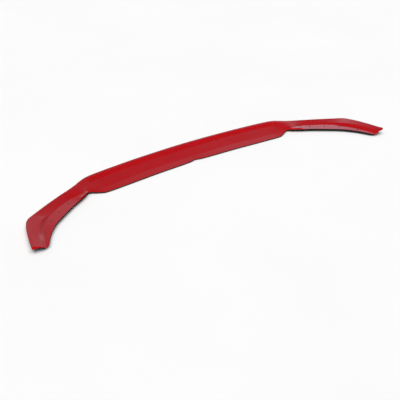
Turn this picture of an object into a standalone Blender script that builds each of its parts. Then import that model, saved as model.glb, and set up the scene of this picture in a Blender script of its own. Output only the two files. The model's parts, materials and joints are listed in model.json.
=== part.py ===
"""Front splitter of a car: one vacuum-formed shell and the screws that hold it to the bumper.

Metres.  X runs across the car, +Y towards the front edge and +Z up; the floor is z = 0.
The shell is a thin skin, open underneath.  Its section, from the front edge to the rear edge, is
a lip down to the floor, a narrow band, a riser that steps down and a broad flange with one crease.
Near the root of each end the flange's rear edge is turned down into a short rim; elsewhere it is
simply cut.  The two ends sweep back round the corners of the bumper.
"""
import math
from collections import namedtuple

import bpy
import bmesh
from mathutils import Matrix, Vector

# Shell ---------------------------------------------------------------------------------------
SHEET = 0.0035              # thickness of the formed sheet
CROWN_RADIUS = 0.006        # radius between the lip and the band, in the middle of the sheet
CROWN_STEPS = 3             # facets of that radius
STATION_PITCH = 0.016       # distance between cross-sections of the loft
FRONT_SHIFT = 0.0629        # rear centre of the flange to the middle of the shell's depth
END_WALL = 0.0030           # thickness of the small wall that closes the lip at each tip
END_STEP = 0.0006           # length over which the hollow lip turns into that wall
END_CORNER = 0.02           # share of the wall's height left square at the lip's lower edge
RIM = 0.0020                # from the middle of the sheet down to its cut rear edge
PROBE = 0.001               # half the length over which a direction along the shell is read
SHARP_CREASE = 12           # degrees; the shell's folds are sharper than its curves

# Cross-sections of the right half, from the middle (x = 0) to the tip, in the middle of the sheet.
# Each point is (x, y, z): crown is the top of the lip, step the top of the riser, foot its bottom,
# crease the bend in the flange and edge its rear edge.  rim is how far the sheet reaches down from
# edge, lip_z the height of the lip's lower edge and flare the distance by which that edge stands
# out from the crown.
Section = namedtuple("Section", "crown step foot crease edge rim lip_z flare")
SECTIONS = [
    Section((0.000, 0.1267, 0.0306), (0.000, 0.1135, 0.0294), (0.000, 0.0917, 0.0185),
            (0.000, 0.0377, 0.0067), (0.000, 0.0110, 0.0030), RIM, 0.0, 0.008),
    Section((0.035, 0.1264, 0.0306), (0.035, 0.1133, 0.0294), (0.035, 0.0915, 0.0185),
            (0.035, 0.0372, 0.0067), (0.035, 0.0037, 0.0030), RIM, 0.0, 0.008),
    Section((0.200, 0.1205, 0.0306), (0.200, 0.1080, 0.0294), (0.200, 0.0887, 0.0185),
            (0.200, 0.0347, 0.0067), (0.200, -0.0048, 0.0030), RIM, 0.0, 0.008),
    Section((0.350, 0.1096, 0.0305), (0.350, 0.0960, 0.0293), (0.350, 0.0787, 0.0190),
            (0.350, 0.0190, 0.0068), (0.350, -0.0160, 0.0030), RIM, 0.0, 0.008),
    Section((0.440, 0.1000, 0.0304), (0.439, 0.0865, 0.0291), (0.438, 0.0667, 0.0190),
            (0.440, 0.0094, 0.0070), (0.440, -0.0217, 0.0030), RIM, 0.0, 0.008),
    Section((0.474, 0.0944, 0.0302), (0.472, 0.0805, 0.0288), (0.467, 0.0607, 0.0190),
            (0.460, 0.0055, 0.0078), (0.456, -0.0208, 0.0033), RIM, 0.0, 0.009),
    Section((0.497, 0.0877, 0.0296), (0.495, 0.0730, 0.0279), (0.490, 0.0480, 0.0190),
            (0.486, 0.0104, 0.0102), (0.483, -0.0095, 0.0055), RIM, 0.0, 0.010),
    Section((0.520, 0.0780, 0.0274), (0.518, 0.0600, 0.0256), (0.515, 0.0230, 0.0168),
            (0.514, 0.0140, 0.0133), (0.514, 0.0062, 0.0105), 0.0045, 0.0, 0.011),
    Section((0.545, 0.0648, 0.0251), (0.543, 0.0460, 0.0232), (0.540, 0.0022, 0.0168),
            (0.537, -0.0040, 0.0168), (0.534, -0.0083, 0.0170), 0.0083, 0.0, 0.012),
    Section((0.580, 0.0495, 0.0230), (0.575, 0.0275, 0.0195), (0.566, -0.0030, 0.0145),
            (0.559, -0.0162, 0.0160), (0.555, -0.0233, 0.0183), 0.0085, 0.0, 0.012),
    Section((0.620, 0.0335, 0.0218), (0.616, 0.0115, 0.0162), (0.600, -0.0050, 0.0110),
            (0.588, -0.0282, 0.0125), (0.579, -0.0385, 0.0136), 0.0035, 0.0, 0.012),
    Section((0.650, 0.0195, 0.0213), (0.642, -0.0027, 0.0153), (0.6255, -0.0163, 0.0102),
            (0.610, -0.0425, 0.0119), (0.603, -0.0523, 0.0128), RIM, 0.0, 0.012),
    Section((0.710, -0.0108, 0.0209), (0.694, -0.0362, 0.0148), (0.6815, -0.0453, 0.0101),
            (0.662, -0.0784, 0.0121), (0.653, -0.0868, 0.0128), RIM, 0.0, 0.013),
    Section((0.762, -0.0395, 0.0208), (0.735, -0.0688, 0.0154), (0.7235, -0.0758, 0.0102),
            (0.703, -0.1092, 0.0120), (0.693, -0.1156, 0.0127), RIM, 0.0, 0.014),
    Section((0.8060, -0.0660, 0.0213), (0.7605, -0.0955, 0.0188), (0.748, -0.0968, 0.0104),
            (0.730, -0.1302, 0.0119), (0.7195, -0.1360, 0.0126), RIM, 0.0, 0.004),
    Section((0.8260, -0.1010, 0.0230), (0.784, -0.1250, 0.0196), (0.770, -0.1255, 0.0106),
            (0.752, -0.1577, 0.0117), (0.744, -0.1608, 0.0123), RIM, 0.001, -0.001),
    Section((0.8463, -0.1605, 0.0256), (0.8080, -0.1705, 0.0201), (0.792, -0.1720, 0.0106),
            (0.777, -0.1922, 0.0113), (0.771, -0.1945, 0.0117), RIM, 0.004, -0.003),
    Section((0.8612, -0.2160, 0.0271), (0.825, -0.2220, 0.0200), (0.809, -0.2230, 0.0110),
            (0.798, -0.2270, 0.0112), (0.792, -0.2280, 0.0112), RIM, 0.010, -0.003),
    Section((0.8722, -0.2560, 0.0283), (0.837, -0.2615, 0.0195), (0.823, -0.2620, 0.0106),
            (0.814, -0.2580, 0.0107), (0.807, -0.2530, 0.0108), RIM, 0.017, -0.003),
]

# Screws and washers --------------------------------------------------------------------------
SCREW_RADIUS = 0.0021       # self-tapping screw, 4.2 mm over the thread
SCREW_LENGTH = 0.0095       # under the head, point included
SCREW_POINT = 0.0035
POINT_SHARE = 0.15          # radius of the point's blunt end, as a share of the screw's
HEAD_RADIUS = 0.0040
HEAD_HEIGHT = 0.0028
HEAD_PROFILE = [(0.62, 1.00), (0.90, 0.72), (1.00, 0.30)]   # shares of the head's radius, height
RECESS_RADIUS = 0.0016      # cross recess, as a small conical socket
RECESS_DEPTH = 0.0014
WASHER_RADIUS = 0.0060
WASHER_BORE = 0.0024
WASHER_THICKNESS = 0.0010
HOLE_RADIUS = 0.0024        # hole in the flange
GAP = 0.0003                # left between pieces that touch
SIDES = 16
SHARP_EDGE = 35             # degrees, on screws and washers

# Where the screws pass through the flange: the distance of the section's crown from the middle
# and the share of the way from the riser's foot to the flange's edge.
SCREW_ROWS = [(0.090, 0.42), (0.225, 0.42), (0.350, 0.42), (0.655, 0.50), (0.720, 0.50),
              (0.800, 0.50), (0.846, 0.50)]


def clear_scene():
    for item in list(bpy.data.objects):
        bpy.data.objects.remove(item, do_unlink=True)


def make_material(name, colour, roughness, metallic):
    material = bpy.data.materials.new(name)
    material.use_nodes = True
    shader = material.node_tree.nodes["Principled BSDF"]
    shader.inputs["Base Color"].default_value = (*colour, 1.0)
    shader.inputs["Roughness"].default_value = roughness
    shader.inputs["Metallic"].default_value = metallic
    material.diffuse_color = (*colour, 1.0)
    return material


def make_object(name, mesh, material, sharp_angle):
    mesh.materials.append(material)
    mesh.shade_smooth()
    mesh.set_sharp_from_angle(angle=math.radians(sharp_angle))
    item = bpy.data.objects.new(name, mesh)
    bpy.context.scene.collection.objects.link(item)
    return item


# Smooth interpolation between the sections ------------------------------------------------------
def slopes(places, values):
    """Slope at each value that keeps a curve through them free of overshoot."""
    steps = [(values[i + 1] - values[i]) / (places[i + 1] - places[i]) for i in range(len(values) - 1)]
    result = [steps[0]]
    for before, after in zip(steps, steps[1:]):
        result.append(0.0 if before * after <= 0.0 else 2.0 * before * after / (before + after))
    result.append(steps[-1])
    return result


def curve_value(places, values, tangents, place):
    """Cubic through the values, read at one place."""
    index = 0
    while index < len(places) - 2 and place > places[index + 1]:
        index += 1
    width = places[index + 1] - places[index]
    t = (place - places[index]) / width
    start = (1 + 2 * t) * (1 - t) ** 2 * values[index] + t * (1 - t) ** 2 * width * tangents[index]
    end = t * t * (3 - 2 * t) * values[index + 1] + t * t * (t - 1) * width * tangents[index + 1]
    return start + end


def flat(section):
    """All the numbers of a section in one list."""
    points = [section.crown, section.step, section.foot, section.crease, section.edge]
    return [number for point in points for number in point] + [section.rim, section.lip_z, section.flare]


class Span:
    """The right half of the shell as a function of the distance along its crown."""

    def __init__(self, sections):
        crowns = [Vector(section.crown) for section in sections]
        self.places = [0.0]
        for before, after in zip(crowns, crowns[1:]):
            self.places.append(self.places[-1] + (after - before).length)
        self.columns = list(zip(*[flat(section) for section in sections]))
        self.tangents = [slopes(self.places, column) for column in self.columns]

    def section(self, place):
        numbers = [curve_value(self.places, column, tangents, place)
                   for column, tangents in zip(self.columns, self.tangents)]
        points = [tuple(numbers[i:i + 3]) for i in range(0, 15, 3)]
        return Section(*points, *numbers[15:])

    def place_of(self, crown_x):
        """Place along the crown at which it is crown_x from the middle."""
        low, high = 0.0, self.places[-1]
        while high - low > 1e-6:
            middle = (low + high) / 2
            if self.section(middle).crown[0] < crown_x:
                low = middle
            else:
                high = middle
        return low

    def stations(self):
        """Places of all cross-sections, the end wall's two faces last."""
        result = []
        for before, after in zip(self.places, self.places[1:]):
            count = max(1, math.ceil((after - before) / STATION_PITCH))
            result += [before + (after - before) * i / count for i in range(count)]
        tip = self.places[-1]
        return result + [tip - END_WALL - END_STEP, tip - END_WALL, tip]


# Shell ---------------------------------------------------------------------------------------
def middle_path(section, along):
    """Middle of the sheet in one cross-section, from the lip's lower edge to the rim's."""
    crown = Vector(section.crown)
    step = Vector(section.step)
    outward = Vector((along.y, -along.x, 0.0)).normalized()
    if outward.dot(crown - Vector(section.edge)) < 0:
        outward = -outward
    lip = crown + outward * section.flare
    lip.z = section.lip_z
    down = (lip - crown).normalized()
    back = (step - crown).normalized()
    points = [lip]
    turn = math.pi - down.angle(back)
    setback = CROWN_RADIUS * math.tan(turn / 2)
    centre = crown + (down + back).normalized() * CROWN_RADIUS / math.cos(turn / 2)
    first = crown + down * setback - centre
    last = crown + back * setback - centre
    for i in range(CROWN_STEPS + 1):
        points.append(centre + first.slerp(last, i / CROWN_STEPS).normalized() * CROWN_RADIUS)
    points += [step, Vector(section.foot), Vector(section.crease), Vector(section.edge)]
    points.append(Vector(section.edge) - Vector((0.0, 0.0, section.rim)))
    return points


def side_path(points, along, offset):
    """The same path moved square to each facet, outwards where offset is positive."""
    normals = [(after - before).cross(along).normalized() for before, after in zip(points, points[1:])]
    result = []
    for i, point in enumerate(points):
        one = normals[max(0, i - 1)]
        two = normals[min(i, len(normals) - 1)]
        result.append(point + (one + two) / (1 + one.dot(two)) * offset)
    wall = points[1] - points[0]
    result[0] += wall * ((points[0].z - result[0].z) / wall.z)
    result[-1].z = points[-1].z
    return result


def close_lip(outer, inner, step_index):
    """Fill the corner under the crown, from the lip's lower edge to the riser."""
    start = outer[0]
    end = inner[step_index]
    for i in range(step_index):
        share = i / step_index
        inner[i] = start.lerp(end, END_CORNER + (1.0 - END_CORNER) * share)


def rings(span):
    """Outer and inner path of every cross-section, from the left tip to the right tip.

    The left half is the right half's mirror image.
    """
    places = span.stations()
    right = []
    for number, place in enumerate(places):
        section = span.section(place)
        ahead = Vector(span.section(min(place + PROBE, places[-1])).crown)
        behind = Vector(span.section(max(place - PROBE, 0.0)).crown)
        along = ahead - behind
        if place == 0.0:
            along = Vector((1.0, 0.0, 0.0))
        along.z = 0.0
        along.normalize()
        middle = middle_path(section, along)
        outer = side_path(middle, along, SHEET / 2)
        inner = side_path(middle, along, -SHEET / 2)
        if number >= len(places) - 2:
            close_lip(outer, inner, CROWN_STEPS + 2)
        right.append((outer, inner))
    left = []
    for outer, inner in reversed(right[1:]):
        left.append(([Vector((-p.x, p.y, p.z)) for p in outer], [Vector((-p.x, p.y, p.z)) for p in inner]))
    return left + right


def shell_mesh(span):
    bm = bmesh.new()
    loops = []
    for outer, inner in rings(span):
        loops.append([bm.verts.new(point) for point in outer + inner[::-1]])
    size = len(loops[0])
    middle = len(loops) // 2
    for number in range(len(loops) - 1):
        inboard, outboard = loops[number], loops[number + 1]
        if number < middle:
            inboard, outboard = outboard, inboard
        for i in range(size):
            j = (i + 1) % size
            bm.faces.new((inboard[i], inboard[j], outboard[j]))
            bm.faces.new((inboard[i], outboard[j], outboard[i]))
    half = size // 2
    for end, flip in ((loops[0], True), (loops[-1], False)):
        for i in range(half - 1):
            corners = [end[i], end[i + 1], end[size - 2 - i], end[size - 1 - i]]
            bm.faces.new(corners[::-1] if flip else corners)
    bmesh.ops.recalc_face_normals(bm, faces=bm.faces)
    mesh = bpy.data.meshes.new("shell")
    bm.to_mesh(mesh)
    bm.free()
    return mesh


def make_shell(span, material):
    shell = make_object("splitter_shell", shell_mesh(span), material, SHARP_CREASE)
    shell.location.y = FRONT_SHIFT
    return shell


# Screw places --------------------------------------------------------------------------------
def screw_frames(span):
    """Matrix of each screw place: its origin in the middle of the flange's sheet, +Z upwards."""
    frames = []
    for crown_x, share in SCREW_ROWS:
        place = span.place_of(crown_x)
        section = span.section(place)
        ahead = span.section(place + PROBE)
        behind = span.section(place - PROBE)
        foot, crease = Vector(section.foot), Vector(section.crease)
        seat = foot.lerp(crease, share)
        along = Vector(ahead.foot) - Vector(behind.foot) + Vector(ahead.crease) - Vector(behind.crease)
        normal = along.cross(foot - crease).normalized()
        for side in (-1, 1):
            origin = Vector((side * seat.x, seat.y + FRONT_SHIFT, seat.z))
            up = Vector((side * normal.x, normal.y, normal.z))
            frames.append(Matrix.Translation(origin) @ up.to_track_quat("Z", "Y").to_matrix().to_4x4())
    return sorted(frames, key=lambda frame: frame.translation.x)


def turned_mesh(name, profile, closed):
    """Solid of revolution about Z.  profile is (radius, z) pairs from the bottom up."""
    bm = bmesh.new()
    rows = []
    for radius, height in profile:
        if radius == 0.0:
            rows.append([bm.verts.new((0.0, 0.0, height))])
            continue
        turn = [2 * math.pi * i / SIDES for i in range(SIDES)]
        rows.append([bm.verts.new((radius * math.cos(a), radius * math.sin(a), height)) for a in turn])
    pairs = list(zip(rows, rows[1:]))
    if closed:
        pairs.append((rows[-1], rows[0]))
    for low, high in pairs:
        for i in range(SIDES):
            j = (i + 1) % SIDES
            corners = []
            for vert in (low[i % len(low)], low[j % len(low)], high[j % len(high)], high[i % len(high)]):
                if vert not in corners:
                    corners.append(vert)
            bm.faces.new(corners)
    bmesh.ops.recalc_face_normals(bm, faces=bm.faces)
    mesh = bpy.data.meshes.new(name)
    bm.to_mesh(mesh)
    bm.free()
    return mesh


def drill_shell(shell, frames):
    """One hole through the flange for each screw."""
    bm = bmesh.new()
    reach = 4 * SHEET
    for frame in frames:
        bmesh.ops.create_cone(bm, cap_ends=True, segments=SIDES, radius1=HOLE_RADIUS,
                              radius2=HOLE_RADIUS, depth=reach, matrix=frame)
    mesh = bpy.data.meshes.new("hole_cutter")
    bm.to_mesh(mesh)
    bm.free()
    cutter = bpy.data.objects.new("hole_cutter", mesh)
    bpy.context.scene.collection.objects.link(cutter)
    cutter.hide_render = True
    cutter.display_type = "WIRE"
    cut = shell.modifiers.new("screw_holes", "BOOLEAN")
    cut.operation = "DIFFERENCE"
    cut.solver = "EXACT"
    cut.object = cutter


def screw_mesh():
    """Pan-head screw, point up, its head's bearing face at z = 0."""
    profile = [(0.0, RECESS_DEPTH - HEAD_HEIGHT), (RECESS_RADIUS, -HEAD_HEIGHT)]
    profile += [(HEAD_RADIUS * across, -HEAD_HEIGHT * high) for across, high in HEAD_PROFILE]
    profile += [(HEAD_RADIUS, 0.0),
                (SCREW_RADIUS, 0.0),
                (SCREW_RADIUS, SCREW_LENGTH - SCREW_POINT),
                (SCREW_RADIUS * POINT_SHARE, SCREW_LENGTH),
                (0.0, SCREW_LENGTH)]
    return turned_mesh("screw", profile, False)


def washer_mesh():
    """Flat washer, its upper face at z = 0."""
    profile = [(WASHER_BORE, -WASHER_THICKNESS),
               (WASHER_RADIUS, -WASHER_THICKNESS),
               (WASHER_RADIUS, 0.0),
               (WASHER_BORE, 0.0)]
    return turned_mesh("washer", profile, True)


def make_fixings(frames, screw_material, washer_material):
    """A washer and a screw under the flange at each hole, numbered from left to right."""
    washer_drop = SHEET / 2 + GAP
    screw_drop = washer_drop + WASHER_THICKNESS + GAP
    screw = screw_mesh()
    washer = washer_mesh()
    for number, frame in enumerate(frames, start=1):
        for kind, mesh, material, drop in (("fixing_screw", screw, screw_material, screw_drop),
                                           ("fixing_washer", washer, washer_material, washer_drop)):
            item = make_object(f"{kind}_{number:02d}", mesh.copy(), material, SHARP_EDGE)
            item.matrix_world = frame @ Matrix.Translation((0.0, 0.0, -drop))


def main():
    clear_scene()
    gloss_red = make_material("gloss_red_plastic", (0.456, 0.008, 0.012), 0.12, 0.0)
    screw_zinc = make_material("zinc_plated_screw", (0.52, 0.55, 0.58), 0.35, 1.0)
    washer_zinc = make_material("zinc_plated_washer", (0.58, 0.61, 0.64), 0.30, 1.0)
    span = Span(SECTIONS)
    shell = make_shell(span, gloss_red)
    frames = screw_frames(span)
    drill_shell(shell, frames)
    make_fixings(frames, screw_zinc, washer_zinc)


main()
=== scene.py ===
import json
import math
from collections import namedtuple

import bmesh
import bpy
import numpy as np
from mathutils import Matrix, Vector

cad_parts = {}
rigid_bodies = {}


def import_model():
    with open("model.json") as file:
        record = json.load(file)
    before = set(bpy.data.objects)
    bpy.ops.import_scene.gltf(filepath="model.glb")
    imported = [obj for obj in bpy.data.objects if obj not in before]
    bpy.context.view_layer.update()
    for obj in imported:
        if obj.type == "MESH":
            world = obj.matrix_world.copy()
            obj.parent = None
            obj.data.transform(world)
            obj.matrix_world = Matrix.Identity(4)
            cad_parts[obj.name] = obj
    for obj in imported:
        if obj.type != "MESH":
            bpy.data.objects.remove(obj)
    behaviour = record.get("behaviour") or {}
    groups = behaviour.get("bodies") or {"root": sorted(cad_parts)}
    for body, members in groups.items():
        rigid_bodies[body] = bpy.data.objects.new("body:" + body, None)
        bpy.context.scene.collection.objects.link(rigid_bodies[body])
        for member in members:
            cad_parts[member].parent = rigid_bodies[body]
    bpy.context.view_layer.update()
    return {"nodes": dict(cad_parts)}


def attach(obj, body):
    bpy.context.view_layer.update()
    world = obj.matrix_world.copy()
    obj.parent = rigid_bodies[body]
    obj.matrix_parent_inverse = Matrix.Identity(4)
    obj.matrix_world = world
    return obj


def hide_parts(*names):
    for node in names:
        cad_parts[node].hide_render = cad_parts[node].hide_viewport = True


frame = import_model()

# Shell ---------------------------------------------------------------------------------------
SHELL_NODE = "splitter_shell"
SHEET = 0.0035              # thickness of the formed sheet
STATION_PITCH = 0.004       # distance between cross-sections of the loft
FRONT_SHIFT = 0.0629        # rear centre of the flange to the middle of the shell's depth
END_WALL = 0.0030           # thickness of the small wall that closes the lip at each tip
END_STEP = 0.0006           # length over which the hollow lip turns into that wall
END_CORNER = 0.02           # share of the wall's height left square at the lip's lower edge
END_BEVEL = 0.0004          # bevel round each tip's end face
RIM = 0.0020                # from the middle of the sheet down to its cut rear edge
PROBE = 0.001               # half the length over which a direction along the shell is read
SUPPORT = 0.0015            # width of the narrow faces that border each fold
CUT_RADIUS = 0.0004         # broken edge of the trimmed sheet
BARE_EDGE = 0.0037          # height of the cut rear edge that the paint leaves bare
LEAST_SETBACK = 0.00015     # least distance from a corner at which its fold starts
SHELL_SHARP = 32            # edges that turn by more degrees than this are shaded sharp

# Cross-sections of the right half, from the middle (x = 0) to the tip, in the middle of the sheet.
# Each point is (x, y, z): crown is the top of the lip, step the top of the riser, foot its bottom,
# crease the bend in the flange and edge its rear edge.  rim is how far the sheet reaches down from
# edge, lip_z the height of the lip's lower edge and flare the distance by which that edge stands
# out from the crown.
Section = namedtuple("Section", "crown step foot crease edge rim lip_z flare")
SECTIONS = [
    Section((0.000, 0.1267, 0.0306), (0.000, 0.1135, 0.0294), (0.000, 0.0917, 0.0185),
            (0.000, 0.0377, 0.0067), (0.000, 0.0110, 0.0030), RIM, 0.0, 0.008),
    Section((0.035, 0.1264, 0.0306), (0.035, 0.1133, 0.0294), (0.035, 0.0915, 0.0185),
            (0.035, 0.0372, 0.0067), (0.035, 0.0037, 0.0030), RIM, 0.0, 0.008),
    Section((0.200, 0.1205, 0.0306), (0.200, 0.1080, 0.0294), (0.200, 0.0887, 0.0185),
            (0.200, 0.0347, 0.0067), (0.200, -0.0048, 0.0030), RIM, 0.0, 0.008),
    Section((0.350, 0.1096, 0.0305), (0.350, 0.0960, 0.0293), (0.350, 0.0787, 0.0190),
            (0.350, 0.0190, 0.0068), (0.350, -0.0160, 0.0030), RIM, 0.0, 0.008),
    Section((0.440, 0.1000, 0.0304), (0.439, 0.0865, 0.0291), (0.438, 0.0667, 0.0190),
            (0.440, 0.0094, 0.0070), (0.440, -0.0217, 0.0030), RIM, 0.0, 0.008),
    Section((0.474, 0.0944, 0.0302), (0.472, 0.0805, 0.0288), (0.467, 0.0607, 0.0190),
            (0.460, 0.0055, 0.0078), (0.456, -0.0208, 0.0033), RIM, 0.0, 0.009),
    Section((0.497, 0.0877, 0.0296), (0.495, 0.0730, 0.0279), (0.490, 0.0480, 0.0190),
            (0.486, 0.0104, 0.0102), (0.483, -0.0095, 0.0055), RIM, 0.0, 0.010),
    Section((0.520, 0.0780, 0.0274), (0.518, 0.0600, 0.0256), (0.515, 0.0230, 0.0168),
            (0.514, 0.0140, 0.0133), (0.514, 0.0062, 0.0105), 0.0045, 0.0, 0.011),
    Section((0.545, 0.0648, 0.0251), (0.543, 0.0460, 0.0232), (0.540, 0.0022, 0.0168),
            (0.537, -0.0040, 0.0168), (0.534, -0.0083, 0.0170), 0.0083, 0.0, 0.012),
    Section((0.580, 0.0495, 0.0230), (0.575, 0.0275, 0.0195), (0.566, -0.0030, 0.0145),
            (0.559, -0.0162, 0.0160), (0.555, -0.0233, 0.0183), 0.0085, 0.0, 0.012),
    Section((0.620, 0.0335, 0.0218), (0.616, 0.0115, 0.0162), (0.600, -0.0050, 0.0110),
            (0.588, -0.0282, 0.0125), (0.579, -0.0385, 0.0136), 0.0035, 0.0, 0.012),
    Section((0.650, 0.0195, 0.0213), (0.642, -0.0027, 0.0153), (0.6255, -0.0163, 0.0102),
            (0.610, -0.0425, 0.0119), (0.603, -0.0523, 0.0128), RIM, 0.0, 0.012),
    Section((0.710, -0.0108, 0.0209), (0.694, -0.0362, 0.0148), (0.6815, -0.0453, 0.0101),
            (0.662, -0.0784, 0.0121), (0.653, -0.0868, 0.0128), RIM, 0.0, 0.013),
    Section((0.762, -0.0395, 0.0208), (0.735, -0.0688, 0.0154), (0.7235, -0.0758, 0.0102),
            (0.703, -0.1092, 0.0120), (0.693, -0.1156, 0.0127), RIM, 0.0, 0.014),
    Section((0.8060, -0.0660, 0.0213), (0.7605, -0.0955, 0.0188), (0.748, -0.0968, 0.0104),
            (0.730, -0.1302, 0.0119), (0.7195, -0.1360, 0.0126), RIM, 0.0, 0.004),
    Section((0.8260, -0.1010, 0.0230), (0.784, -0.1250, 0.0196), (0.770, -0.1255, 0.0106),
            (0.752, -0.1577, 0.0117), (0.744, -0.1608, 0.0123), RIM, 0.001, -0.001),
    Section((0.8463, -0.1605, 0.0256), (0.8080, -0.1705, 0.0201), (0.792, -0.1720, 0.0106),
            (0.777, -0.1922, 0.0113), (0.771, -0.1945, 0.0117), RIM, 0.004, -0.003),
    Section((0.8612, -0.2160, 0.0271), (0.825, -0.2220, 0.0200), (0.809, -0.2230, 0.0110),
            (0.798, -0.2270, 0.0112), (0.792, -0.2280, 0.0112), RIM, 0.010, -0.003),
    Section((0.8715, -0.2560, 0.0283), (0.837, -0.2615, 0.0195), (0.823, -0.2620, 0.0106),
            (0.814, -0.2580, 0.0107), (0.807, -0.2530, 0.0108), RIM, 0.017, -0.003),
]

# Radius and number of facets of each fold, from the lip's lower edge to the cut rear edge, on the
# outer and on the inner side of the sheet.  share is the part of the shorter neighbouring facet
# that the fold may take.
Fold = namedtuple("Fold", "outer inner steps share")
FOLDS = [Fold(CUT_RADIUS, CUT_RADIUS, 2, 0.05),
         Fold(0.0092, 0.0050, 8, 0.85),
         Fold(0.0050, 0.0015, 5, 0.42),
         Fold(0.0025, 0.0060, 5, 0.42),
         Fold(0.0120, 0.0120, 4, 0.42),
         Fold(0.0010, 0.0006, 4, 0.42),
         Fold(CUT_RADIUS, CUT_RADIUS, 2, 0.42)]
STEP_FOLD = 2               # place of the riser's top in that list

# Screws and washers --------------------------------------------------------------------------
PAIRS = 14
THREAD_RADIUS = 0.0021
CORE_RADIUS = 0.0015
THREAD_PITCH = 0.0014
CREST_WIDTH = 0.6           # share of the pitch that the thread's ridge takes
SCREW_LENGTH = 0.0095       # from under the head to the point
POINT_LENGTH = 0.0035
POINT_CURVE = 0.8           # 1 for a straight cone, less for a fuller point
BLUNT = 0.0001              # radius left at the point
SCREW_SIDES = 28
ROWS_PER_PITCH = 10
HEAD_RADIUS = 0.0040
HEAD_HEIGHT = 0.0028
HEAD_PROFILE = [(HEAD_RADIUS, 0.0), (HEAD_RADIUS, -0.0007), (0.00385, -0.0013), (0.0034, -0.0020),
                (0.0027, -0.0025), (0.0018, -0.0027)]
RECESS_DEPTH = 0.0016
RECESS_REACH = 0.0021
RECESS_WIDTH = 0.0008
WASHER_RADIUS = 0.0060
WASHER_BORE = 0.0024
WASHER_THICKNESS = 0.0010
WASHER_ROLL = 0.00025       # rounding of the washer's upper edges, on the side of the punch
WASHER_BURR = 0.00006       # and of its lower edges
WASHER_SIDES = 56
HOLE_RADIUS = 0.0024
HOLE_BURR = 0.0003          # lip broken from each hole's upper edge
HOLE_SIDES = 32
GAP = 0.0003                # between a screw, its washer and the shell
SPIN = 2.4                  # turn from each screw to the next, in radians
METAL_SHARP = 30            # as SHELL_SHARP, for the screws and washers

# Camera --------------------------------------------------------------------------------------
CAMERA_AIM = (-0.1728, -0.2155, 0.0)
CAMERA_DISTANCE = 2.9503
CAMERA_ELEVATION = 30.48
CAMERA_TURN = 34.51         # to the right of straight ahead along +Y
CAMERA_LENS = 67.27
CAMERA_SHIFT_Y = -0.00125
FLOOR_REACH = 400.0         # from the part to the floor's edge
SIGHT = 1000.0              # distance beyond which the camera sees nothing

# Light ---------------------------------------------------------------------------------------
# Brightness of the surroundings at each elevation in degrees, their tint, the share of it left on the
# camera's side, and how far to each side of the middle that share fades in.  SIDE is the normal,
# pointing to the right, of a slanting plane through the part: the surroundings are brightest just to
# the left of that plane and dim to the right.  SIDE_LEVELS is their share at each signed distance.
SKY_LEVELS = [(-90, 0.0), (-3, 0.0), (1, 0.25), (7, 0.6), (11, 1.5), (16, 1.05), (21, 0.95), (27, 0.88),
              (30, 0.70), (34, 0.53), (38, 0.45), (42, 0.34), (46, 0.23), (51, 0.17), (60, 0.08),
              (90, 0.05)]
SKY_TINT = (0.93, 0.97, 1.10)
NEAR_SKY = 0.3
NEAR_FADE = 0.3
SIDE = (0.685, -0.669, -0.290)
SIDE_LEVELS = [(-1.0, 0.60), (-0.50, 0.60), (-0.36, 0.62), (-0.25, 0.75), (-0.15, 0.95), (-0.06, 1.0),
               (-0.01, 0.50), (0.03, 0.35), (1.0, 0.30)]
SUN_TINT = (1.0, 0.992, 0.974)

# Elevation, width (both in degrees) and strength of the two distant lights.
OVERHEAD = (78.0, 80.0, 2.95)
LOW_FILL = (4.0, 8.0, 2.4)


# Small helpers -------------------------------------------------------------------------------
def new_object(name, data):
    item = bpy.data.objects.new(name, data)
    bpy.context.scene.collection.objects.link(item)
    return item


def mesh_from(name, bm):
    bmesh.ops.recalc_face_normals(bm, faces=bm.faces)
    mesh = bpy.data.meshes.new(name)
    bm.to_mesh(mesh)
    bm.free()
    return mesh


def smooth(mesh, sharp_angle):
    mesh.shade_smooth()
    mesh.set_sharp_from_angle(angle=math.radians(sharp_angle))


def cut_with(piece, cutter):
    """Boolean difference, applied at once; the cutter is removed."""
    cut = piece.modifiers.new("cut", "BOOLEAN")
    cut.operation = "DIFFERENCE"
    cut.solver = "EXACT"
    cut.object = cutter
    bpy.context.view_layer.update()
    result = piece.evaluated_get(bpy.context.evaluated_depsgraph_get())
    mesh = bpy.data.meshes.new_from_object(result)
    piece.modifiers.clear()
    piece.data = mesh
    bpy.data.objects.remove(cutter, do_unlink=True)


# Smooth interpolation between the sections ------------------------------------------------------
def slopes(places, values):
    """Slope at each value that keeps a curve through them free of overshoot."""
    steps = [(values[i + 1] - values[i]) / (places[i + 1] - places[i]) for i in range(len(values) - 1)]
    result = [steps[0]]
    for before, after in zip(steps, steps[1:]):
        result.append(0.0 if before * after <= 0.0 else 2.0 * before * after / (before + after))
    result.append(steps[-1])
    return result


def curve_value(places, values, tangents, place):
    """Cubic through the values, read at one place."""
    index = 0
    while index < len(places) - 2 and place > places[index + 1]:
        index += 1
    width = places[index + 1] - places[index]
    t = (place - places[index]) / width
    start = (1 + 2 * t) * (1 - t) ** 2 * values[index] + t * (1 - t) ** 2 * width * tangents[index]
    end = t * t * (3 - 2 * t) * values[index + 1] + t * t * (t - 1) * width * tangents[index + 1]
    return start + end


def flat(section):
    """All the numbers of a section in one list."""
    points = [section.crown, section.step, section.foot, section.crease, section.edge]
    return [number for point in points for number in point] + [section.rim, section.lip_z, section.flare]


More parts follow.
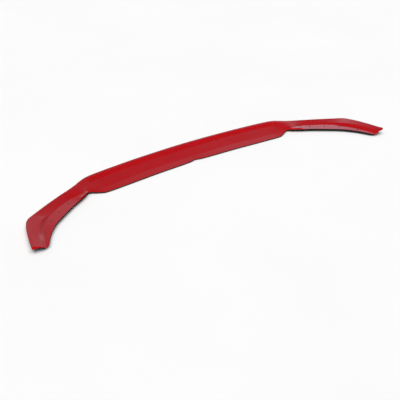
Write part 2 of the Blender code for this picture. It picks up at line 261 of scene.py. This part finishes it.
class Span:
    """The right half of the shell as a function of the distance along its crown."""

    def __init__(self, sections):
        crowns = [Vector(section.crown) for section in sections]
        self.places = [0.0]
        for before, after in zip(crowns, crowns[1:]):
            self.places.append(self.places[-1] + (after - before).length)
        self.columns = list(zip(*[flat(section) for section in sections]))
        self.tangents = [slopes(self.places, column) for column in self.columns]

    def section(self, place):
        numbers = [curve_value(self.places, column, tangents, place)
                   for column, tangents in zip(self.columns, self.tangents)]
        points = [tuple(numbers[i:i + 3]) for i in range(0, 15, 3)]
        return Section(*points, *numbers[15:])

    def along(self, place):
        """Level direction of the crown at one place."""
        if place == 0.0:
            return Vector((1.0, 0.0, 0.0))
        ahead = Vector(self.section(min(place + PROBE, self.places[-1])).crown)
        behind = Vector(self.section(max(place - PROBE, 0.0)).crown)
        direction = ahead - behind
        direction.z = 0.0
        return direction.normalized()

    def stations(self):
        """Places of all cross-sections; the last four make the end wall and its bevel."""
        tip = self.places[-1]
        inner = tip - END_WALL
        last = inner - END_STEP
        count = math.ceil(last / STATION_PITCH)
        return [last * i / count for i in range(count + 1)] + [inner, tip - END_BEVEL, tip]


# Shell ---------------------------------------------------------------------------------------
def middle_corners(section, along):
    """Corners of the sheet's middle, from the lip's lower edge to the rim's lower edge."""
    crown = Vector(section.crown)
    edge = Vector(section.edge)
    outward = Vector((along.y, -along.x, 0.0)).normalized()
    if outward.dot(crown - edge) < 0:
        outward = -outward
    lip = crown + outward * section.flare
    lip.z = section.lip_z
    under = edge - Vector((0.0, 0.0, section.rim))
    return [lip, crown, Vector(section.step), Vector(section.foot), Vector(section.crease), edge, under]


def side_corners(corners, along, offset):
    """The same corners moved square to each facet, outwards where offset is positive."""
    normals = [(after - before).cross(along).normalized() for before, after in zip(corners, corners[1:])]
    result = []
    for i, point in enumerate(corners):
        one = normals[max(0, i - 1)]
        two = normals[min(i, len(normals) - 1)]
        result.append(point + (one + two) / (1 + one.dot(two)) * offset)
    wall = corners[1] - corners[0]
    result[0] += wall * ((corners[0].z - result[0].z) / wall.z)
    result[-1].z = corners[-1].z
    return result


def close_lip(outer, inner):
    """Fill the corner under the crown, from the lip's lower edge to the riser."""
    start, end = outer[0], inner[STEP_FOLD]
    for i in range(STEP_FOLD):
        inner[i] = start.lerp(end, END_CORNER + (1.0 - END_CORNER) * i / STEP_FOLD)


def rounded(corners, folds):
    """Closed outline in which a short curve, bordered by narrow facets, takes each corner's place."""
    result = []
    for i, corner in enumerate(corners):
        before = corners[i - 1] - corner
        after = corners[(i + 1) % len(corners)] - corner
        radius, steps, share = folds[i]
        room = share * min(before.length, after.length)
        turn = math.pi - before.angle(after)
        setback = max(min(radius * math.tan(turn / 2), room), LEAST_SETBACK)
        border = setback + min(SUPPORT, 0.1 * room)
        before.normalize()
        after.normalize()
        start, end = corner + before * setback, corner + after * setback
        result.append(corner + before * border)
        for k in range(steps + 1):
            t = k / steps
            result.append(start * (1 - t) ** 2 + corner * 2 * t * (1 - t) + end * t * t)
        result.append(corner + after * border)
    return result


def outlines(span):
    """Closed outline of the sheet at every cross-section, from the left tip to the right tip."""
    places = span.stations()
    folds = [(fold.outer, fold.steps, fold.share) for fold in FOLDS]
    folds += [(fold.inner, fold.steps, fold.share) for fold in reversed(FOLDS)]
    right = []
    for number, place in enumerate(places):
        along = span.along(place)
        middle = middle_corners(span.section(place), along)
        outer = side_corners(middle, along, SHEET / 2)
        inner = side_corners(middle, along, -SHEET / 2)
        if number >= len(places) - 3:
            close_lip(outer, inner)
        right.append(rounded(outer + inner[::-1], folds))
    right[-1] = pinched(right[-1])
    left = [[Vector((-point.x, point.y, point.z)) for point in outline] for outline in right[:0:-1]]
    return left + right


def pinched(outline):
    """Draw the two sides of the sheet a little closer, for the bevel at the tip."""
    result = []
    for point, partner in zip(outline, reversed(outline)):
        across = partner - point
        result.append(point + across.normalized() * min(END_BEVEL, 0.3 * across.length))
    return result


def shell_mesh(span):
    """Loft of the outlines.  Material 0 is the painted outer side, 1 the bare inner side."""
    bm = bmesh.new()
    wear = bm.verts.layers.float.new("fold")
    rise = bm.verts.layers.float.new("rise")
    loops = []
    marks = fold_marks()
    edge_end = len(marks) // 2
    edge_start = edge_end - (FOLDS[-1].steps + 3) - (FOLDS[-2].steps + 3)
    for outline in outlines(span):
        loop = []
        for number, (point, mark) in enumerate(zip(outline, marks)):
            vert = bm.verts.new((point.x, point.y + FRONT_SHIFT, point.z))
            vert[wear] = mark
            vert[rise] = point.z - outline[edge_end - 1].z if edge_start <= number < edge_end else 1.0
            loop.append(vert)
        loops.append(loop)
    size = len(loops[0])
    half = size // 2
    first_painted = FOLDS[0].steps + 1
    last_painted = half - 2 - FOLDS[-1].steps
    middle = len(loops) // 2
    for number in range(len(loops) - 1):
        inboard, outboard = loops[number], loops[number + 1]
        if number < middle:
            inboard, outboard = outboard, inboard
        for i in range(size):
            j = (i + 1) % size
            face = bm.faces.new((inboard[i], inboard[j], outboard[j], outboard[i]))
            face.material_index = 0 if first_painted <= i < last_painted else 1
    for end in (loops[0], loops[-1]):
        for i in range(half - 1):
            face = bm.faces.new([end[i], end[i + 1], end[size - 2 - i], end[size - 1 - i]])
            face.material_index = 0
    return mesh_from("splitter_skin", bm)


def fold_marks():
    """1 on the folds of the outline and 0 on its facets, for the materials."""
    marks = []
    for fold in FOLDS + FOLDS[::-1]:
        marks += [0.0] + [1.0] * (fold.steps + 1) + [0.0]
    return marks


def seat_of(number):
    """Matrix of one screw place, read from its washer: the middle of the washer, +Z up its axis."""
    washer = frame["nodes"][f"fixing_washer_{number:02d}"]
    points = np.array([vert.co for vert in washer.data.vertices])
    centre = points.mean(axis=0)
    normal = Vector(np.linalg.svd(points - centre, full_matrices=False)[2][2])
    if normal.z < 0:
        normal = -normal
    return Matrix.Translation(Vector(centre)) @ normal.to_track_quat("Z", "Y").to_matrix().to_4x4()


def turned(bm, profile, sides, matrix=Matrix.Identity(4)):
    """Solid of revolution about Z added to bm.  profile is (radius, z) pairs, a loop if both ends
    are off the axis."""
    rows = []
    for radius, height in profile:
        turn = [2 * math.pi * i / sides for i in range(sides if radius > 0.0 else 1)]
        rows.append([bm.verts.new(matrix @ Vector((radius * math.cos(a), radius * math.sin(a), height)))
                     for a in turn])
    pairs = list(zip(rows, rows[1:]))
    if profile[0][0] > 0.0:
        pairs.append((rows[-1], rows[0]))
    for low, high in pairs:
        for i in range(sides):
            j = (i + 1) % sides
            corners = []
            for vert in (low[i % len(low)], low[j % len(low)], high[j % len(high)], high[i % len(high)]):
                if vert not in corners:
                    corners.append(vert)
            bm.faces.new(corners)


def hole_cutter(seats):
    """Drill for every screw hole, with a light countersink on the painted side."""
    bm = bmesh.new()
    top = WASHER_THICKNESS / 2 + GAP + SHEET
    mouth = HOLE_RADIUS + 3 * HOLE_BURR
    profile = [(0.0, -SHEET), (HOLE_RADIUS, -SHEET), (HOLE_RADIUS, top - HOLE_BURR),
               (mouth, top + 2 * HOLE_BURR), (mouth, top + SHEET), (0.0, top + SHEET)]
    for seat in seats:
        turned(bm, profile, HOLE_SIDES, seat)
    return new_object("hole_cutter", mesh_from("hole_cutter", bm))


def make_shell(seats, paint, plastic):
    mesh = shell_mesh(Span(SECTIONS))
    mesh.materials.append(paint)
    mesh.materials.append(plastic)
    skin = new_object("splitter_skin", mesh)
    cut_with(skin, hole_cutter(seats))
    smooth(skin.data, SHELL_SHARP)
    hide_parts(SHELL_NODE)
    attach(skin, "root")
    return skin


# Screws and washers --------------------------------------------------------------------------
def ring_of(bm, radii, height):
    """One ring of vertices at a height, with a radius for each side."""
    turns = [2 * math.pi * i / len(radii) for i in range(len(radii))]
    return [bm.verts.new((radius * math.cos(a), radius * math.sin(a), height))
            for radius, a in zip(radii, turns)]


def join_rings(bm, low, high):
    for i in range(len(low)):
        j = (i + 1) % len(low)
        bm.faces.new((low[i], low[j], high[j], high[i]))


def thread_radius(height, side):
    """Radius of the threaded shank at a height, on one of its sides."""
    taper = min(1.0, (SCREW_LENGTH - height) / POINT_LENGTH) ** POINT_CURVE
    grown = min(1.0, height / THREAD_PITCH)
    phase = (height / THREAD_PITCH - side / SCREW_SIDES) % 1.0
    crest = max(0.0, 1.0 - abs(phase - 0.5) / (CREST_WIDTH / 2)) * grown
    return (CORE_RADIUS + (THREAD_RADIUS - CORE_RADIUS) * crest) * taper + BLUNT


def screw_mesh():
    """Self-tapping screw, point up, its head's bearing face at z = 0."""
    bm = bmesh.new()
    count = round(SCREW_LENGTH / THREAD_PITCH * ROWS_PER_PITCH)
    rows = []
    for k in range(count + 1):
        height = SCREW_LENGTH * k / count
        rows.append(ring_of(bm, [thread_radius(height, side) for side in range(SCREW_SIDES)], height))
    for low, high in zip(rows, rows[1:]):
        join_rings(bm, low, high)
    bm.faces.new(rows[-1])
    ring = rows[0]
    for radius, height in HEAD_PROFILE:
        row = ring_of(bm, [radius] * SCREW_SIDES, height)
        join_rings(bm, ring, row)
        ring = row
    crown = bm.verts.new((0.0, 0.0, -HEAD_HEIGHT))
    for i in range(SCREW_SIDES):
        bm.faces.new((ring[i], ring[(i + 1) % SCREW_SIDES], crown))
    return mesh_from("tapping_screw", bm)


def recess_cutter(turn):
    """One bar of the cross recess, which narrows towards the bottom."""
    bm = bmesh.new()
    spin = Matrix.Rotation(math.radians(turn), 4, "Z")
    corners = []
    outside = (-2 * HEAD_HEIGHT, 1.3 * RECESS_REACH, 1.2 * RECESS_WIDTH)
    bottom = (RECESS_DEPTH - HEAD_HEIGHT, 0.45 * RECESS_REACH, 0.7 * RECESS_WIDTH)
    for height, reach, width in (outside, bottom):
        for sx, sy in ((-1, -1), (1, -1), (1, 1), (-1, 1)):
            corners.append(bm.verts.new(spin @ Vector((sx * reach, sy * width / 2, height))))
    for i in range(4):
        j = (i + 1) % 4
        bm.faces.new((corners[i], corners[j], corners[4 + j], corners[4 + i]))
    bm.faces.new(corners[:4])
    bm.faces.new(corners[4:])
    return new_object("recess_cutter", mesh_from("recess_cutter", bm))


def washer_mesh():
    """Flat washer, its middle at the origin: punched, so one edge is rounded and the other sharp."""
    bm = bmesh.new()
    half = WASHER_THICKNESS / 2
    steps = 3
    profile = []
    for corner_r, corner_z, inward, down, size in ((WASHER_BORE, half, 1, -1, WASHER_ROLL),
                                                   (WASHER_RADIUS, half, -1, -1, WASHER_ROLL),
                                                   (WASHER_RADIUS, -half, -1, 1, WASHER_BURR),
                                                   (WASHER_BORE, -half, 1, 1, WASHER_BURR)):
        arc = []
        for k in range(steps + 1):
            angle = math.pi / 2 * k / steps
            arc.append((corner_r + inward * size * (1 - math.cos(angle)),
                        corner_z + down * size * (1 - math.sin(angle))))
        profile += arc if inward * down < 0 else arc[::-1]
    turned(bm, profile, WASHER_SIDES)
    return mesh_from("flat_washer", bm)


def make_fixings(seats, screw_metal, washer_metal):
    model = new_object("screw_model", screw_mesh())
    for turn in (0, 90):
        cut_with(model, recess_cutter(turn))
    smooth(model.data, METAL_SHARP)
    washer = washer_mesh()
    smooth(washer, METAL_SHARP)
    drop = WASHER_THICKNESS / 2 + GAP
    model.data.materials.append(screw_metal)
    washer.materials.append(washer_metal)
    for number, seat in enumerate(seats, start=1):
        turn = Matrix.Rotation(SPIN * number, 4, "Z")
        bearing = seat @ Matrix.Translation((0.0, 0.0, -drop))
        for kind, mesh, place in (("screw", model.data, bearing @ turn), ("washer", washer, seat @ turn)):
            piece = new_object(f"{kind}_{number:02d}_detail", mesh.copy())
            piece.matrix_world = place
            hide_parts(f"fixing_{kind}_{number:02d}")
            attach(piece, "root")
    bpy.data.objects.remove(model, do_unlink=True)


# Materials -----------------------------------------------------------------------------------
class Maker:
    """Short way to add and join shader nodes of one material."""

    def __init__(self, name):
        self.material = bpy.data.materials.new(name)
        self.material.use_nodes = True
        self.tree = self.material.node_tree
        self.shader = self.tree.nodes["Principled BSDF"]
        self.place = self.add("ShaderNodeTexCoord").outputs["Object"]

    def add(self, kind, **settings):
        node = self.tree.nodes.new(kind)
        for key, value in settings.items():
            setattr(node, key, value)
        return node

    def join(self, output, target):
        self.tree.links.new(output, target)

    def stretched(self, scale):
        mapping = self.add("ShaderNodeMapping")
        mapping.inputs["Scale"].default_value = scale
        self.join(self.place, mapping.inputs["Vector"])
        return mapping.outputs["Vector"]

    def noise(self, scale, detail=3.0, vector=None):
        node = self.add("ShaderNodeTexNoise")
        node.inputs["Scale"].default_value = scale
        node.inputs["Detail"].default_value = detail
        self.join(vector or self.place, node.inputs["Vector"])
        return node.outputs["Fac"]

    def cells(self, scale):
        node = self.add("ShaderNodeTexVoronoi")
        node.inputs["Scale"].default_value = scale
        self.join(self.place, node.inputs["Vector"])
        return node.outputs["Distance"]

    def attribute(self, name):
        return self.add("ShaderNodeAttribute", attribute_name=name).outputs["Fac"]

    def span(self, value, low, high, to_low, to_high):
        node = self.add("ShaderNodeMapRange")
        self.join(value, node.inputs["Value"])
        ends = {"From Min": low, "From Max": high, "To Min": to_low, "To Max": to_high}
        for socket, number in ends.items():
            node.inputs[socket].default_value = number
        return node.outputs["Result"]

    def sum(self, *values):
        total = values[0]
        for value in values[1:]:
            node = self.add("ShaderNodeMath", operation="ADD")
            self.join(total, node.inputs[0])
            self.join(value, node.inputs[1])
            total = node.outputs[0]
        return total

    def product(self, one, two):
        node = self.add("ShaderNodeMath", operation="MULTIPLY")
        self.join(one, node.inputs[0])
        self.join(two, node.inputs[1])
        return node.outputs[0]

    def mix(self, factor, one, two):
        """Colour mix; one and two are colours or sockets."""
        node = self.add("ShaderNodeMix", data_type="RGBA")
        self.join(factor, node.inputs["Factor"])
        for socket, colour in ((node.inputs[6], one), (node.inputs[7], two)):
            if isinstance(colour, tuple):
                socket.default_value = (*colour, 1.0)
            else:
                self.join(colour, socket)
        return node.outputs[2]

    def bump(self, *layers):
        """Chain of bumps; each layer is a height socket and its depth in metres."""
        last = None
        for height, depth in layers:
            node = self.add("ShaderNodeBump")
            node.inputs["Strength"].default_value = 1.0
            node.inputs["Distance"].default_value = depth
            self.join(height, node.inputs["Height"])
            if last:
                self.join(last, node.inputs["Normal"])
            last = node.outputs["Normal"]
        self.join(last, self.shader.inputs["Normal"])

    def surface(self, colour, roughness):
        self.join(colour, self.shader.inputs["Base Color"])
        self.join(roughness, self.shader.inputs["Roughness"])


def gloss_red_paint():
    """Solid red under clear gloss: faint mottle, orange peel, dust and polishing marks."""
    m = Maker("gloss_red_paint")
    m.shader.inputs["IOR"].default_value = 1.5
    mottle = m.span(m.noise(6.0, 4.0), 0.3, 0.7, 0.0, 1.0)
    red = m.mix(mottle, (0.355, 0.0036, 0.0060), (0.373, 0.0048, 0.0080))
    dust = m.span(m.noise(900.0, 1.0), 0.74, 0.80, 0.0, 0.35)
    red = m.mix(dust, red, (0.45, 0.08, 0.08))
    thin = m.span(m.attribute("fold"), 0.0, 1.0, 0.0, 0.25)
    red = m.mix(thin, red, (0.30, 0.003, 0.005))
    bare = m.span(m.attribute("rise"), BARE_EDGE + 0.0001, BARE_EDGE - 0.0001, 0.0, 1.0)
    red = m.mix(bare, red, (0.014, 0.014, 0.015))
    haze = m.span(m.noise(25.0, 5.0), 0.3, 0.7, 0.05, 0.10)
    marks = m.span(m.noise(1.0, 2.0, m.stretched((40.0, 900.0, 900.0))), 0.55, 0.75, 0.0, 0.03)
    m.surface(red, m.sum(haze, marks, m.span(dust, 0.0, 1.0, 0.0, 0.2), m.span(bare, 0.0, 1.0, 0.0, 0.4)))
    m.bump((m.noise(260.0, 2.0), 0.000012), (m.noise(8.0, 2.0), 0.00012))
    return m.material


def bare_black_plastic():
    """Underside and trimmed edges of the sheet: pressed grain, draw marks, pale scuffs."""
    m = Maker("bare_black_plastic")
    grain = m.cells(900.0)
    draw = m.noise(14.0, 3.0, m.stretched((1.0, 3.0, 3.0)))
    scuffs = m.span(m.noise(1.0, 4.0, m.stretched((30.0, 400.0, 400.0))), 0.60, 0.75, 0.0, 1.0)
    colour = m.mix(m.span(draw, 0.3, 0.7, 0.0, 1.0), (0.010, 0.010, 0.011), (0.018, 0.018, 0.019))
    colour = m.mix(m.product(scuffs, m.span(m.attribute("fold"), 0.0, 1.0, 0.15, 0.6)), colour,
                   (0.07, 0.07, 0.07))
    m.surface(colour, m.sum(m.span(grain, 0.0, 0.8, 0.42, 0.58), m.span(scuffs, 0.0, 1.0, 0.0, 0.12)))
    m.bump((grain, 0.00006), (m.noise(350.0, 3.0), 0.00005), (draw, 0.0004))
    return m.material


def zinc(name, tone, scale):
    """Zinc plating over steel: faint spangle with darker patches, blue and yellow tints."""
    m = Maker(name)
    m.shader.inputs["Metallic"].default_value = 1.0
    spangle = m.cells(scale)
    tint = m.span(m.noise(scale / 3, 3.0), 0.35, 0.65, 0.0, 1.0)
    cool = tuple(tone * part for part in (0.88, 0.97, 1.06))
    warm = tuple(tone * part for part in (1.06, 1.02, 0.90))
    colour = m.mix(tint, cool, warm)
    colour = m.mix(m.span(spangle, 0.1, 0.7, 0.0, 0.35), colour, (0.25, 0.26, 0.27))
    m.surface(colour, m.sum(m.span(spangle, 0.0, 0.8, 0.24, 0.38), m.span(tint, 0.0, 1.0, 0.0, 0.08)))
    m.bump((m.noise(4 * scale, 3.0), 0.00001))
    return m.material


def floor_material():
    """Pale studio floor: matt, with a faint mottle."""
    m = Maker("studio_floor")
    pale = m.mix(m.span(m.noise(1.5, 4.0), 0.3, 0.7, 0.0, 1.0), (0.93, 0.93, 0.93), (0.95, 0.95, 0.95))
    m.surface(pale, m.span(m.noise(60.0, 3.0), 0.3, 0.7, 0.85, 0.95))
    m.shader.inputs["Specular IOR Level"].default_value = 0.1
    m.bump((m.noise(500.0, 3.0), 0.00002))
    return m.material


# Stage ---------------------------------------------------------------------------------------
def make_floor():
    """One level face out to the horizon, left out of reflections so that cut edges stay dark."""
    bm = bmesh.new()
    corners = [bm.verts.new((x * FLOOR_REACH, y * FLOOR_REACH, 0.0))
               for x, y in ((-1, -1), (1, -1), (1, 1), (-1, 1))]
    bm.faces.new(corners)
    floor = new_object("studio_floor", mesh_from("studio_floor", bm))
    floor.data.materials.append(floor_material())
    floor.visible_glossy = False


def make_world():
    """Surroundings: bright low down on the far side, dim behind the camera, dark overhead and below."""
    world = bpy.data.worlds.new("studio")
    bpy.context.scene.world = world
    world.use_nodes = True
    tree = world.node_tree
    background = tree.nodes["Background"]
    place = tree.nodes.new("ShaderNodeTexCoord").outputs["Generated"]
    turn = math.radians(CAMERA_TURN)
    sky = [(math.sin(math.radians(elevation)), tuple(level * part for part in SKY_TINT))
           for elevation, level in SKY_LEVELS]
    near = [(-NEAR_FADE, (NEAR_SKY,) * 3), (NEAR_FADE, (1.0,) * 3)]
    side = [(distance, (level,) * 3) for distance, level in SIDE_LEVELS]
    colour = None
    up = (0.0, 0.0, 1.0)
    ahead = (math.sin(turn), math.cos(turn), 0.0)
    for axis, stops in ((up, sky), (ahead, near), (SIDE, side)):
        layer = ramp_along(tree, place, axis, stops)
        if colour:
            both = tree.nodes.new("ShaderNodeVectorMath")
            both.operation = "MULTIPLY"
            tree.links.new(colour, both.inputs[0])
            tree.links.new(layer, both.inputs[1])
            layer = both.outputs["Vector"]
        colour = layer
    tree.links.new(colour, background.inputs["Color"])


def ramp_along(tree, place, axis, stops):
    """Colour by the component of a direction along axis; stops are (component, colour) pairs."""
    dot = tree.nodes.new("ShaderNodeVectorMath")
    dot.operation = "DOT_PRODUCT"
    dot.inputs[1].default_value = axis
    tree.links.new(place, dot.inputs[0])
    share = tree.nodes.new("ShaderNodeMapRange")
    share.inputs["From Min"].default_value = -1.0
    tree.links.new(dot.outputs["Value"], share.inputs["Value"])
    ramp = tree.nodes.new("ShaderNodeValToRGB")
    tree.links.new(share.outputs["Result"], ramp.inputs["Fac"])
    elements = ramp.color_ramp.elements
    while len(elements) < len(stops):
        elements.new(0.5)
    for element, (component, colour) in zip(elements, stops):
        element.position = (component + 1) / 2
    for element, (component, colour) in zip(elements, stops):
        element.color = (*colour, 1.0)
    return ramp.outputs["Color"]


def towards_camera(turn, elevation):
    """Direction from the part to a camera with this turn and elevation, both in degrees."""
    turn, elevation = math.radians(turn), math.radians(elevation)
    return Vector((-math.sin(turn) * math.cos(elevation), -math.cos(turn) * math.cos(elevation),
                   math.sin(elevation)))


def sun(name, turn, elevation, spread, strength):
    """Soft distant light; turn is counted like the camera's, and spread is its width in degrees."""
    light = bpy.data.lights.new(name, "SUN")
    light.energy = strength
    light.angle = math.radians(spread)
    light.color = SUN_TINT
    item = new_object(name, light)
    item.rotation_euler = towards_camera(turn, elevation).to_track_quat("Z", "Y").to_euler()
    item.visible_glossy = False
    return item


def make_lights():
    """Wide light from overhead, and a low one from the camera's side that falls on the part alone."""
    sun("overhead", CAMERA_TURN, *OVERHEAD)
    low = sun("low_fill", CAMERA_TURN, *LOW_FILL)
    pieces = bpy.data.collections.new("filled")
    for item in bpy.context.scene.objects:
        if item.name.endswith(("_skin", "_detail")):
            pieces.objects.link(item)
    low.light_linking.receiver_collection = pieces


def make_camera():
    camera = bpy.data.cameras.new("camera")
    camera.lens = CAMERA_LENS
    camera.shift_y = CAMERA_SHIFT_Y
    camera.clip_end = SIGHT
    item = new_object("camera", camera)
    back = towards_camera(CAMERA_TURN, CAMERA_ELEVATION)
    item.location = Vector(CAMERA_AIM) + back * CAMERA_DISTANCE
    item.rotation_euler = (math.pi / 2 - math.radians(CAMERA_ELEVATION), 0.0, -math.radians(CAMERA_TURN))
    bpy.context.scene.camera = item


def main():
    make_camera()
    seats = [seat_of(number) for number in range(1, PAIRS + 1)]
    make_shell(seats, gloss_red_paint(), bare_black_plastic())
    make_fixings(seats, zinc("zinc_screw", 0.60, 900.0), zinc("zinc_washer", 0.56, 700.0))
    make_floor()
    make_world()
    make_lights()
    bpy.context.scene.view_settings.view_transform = "Standard"


main()
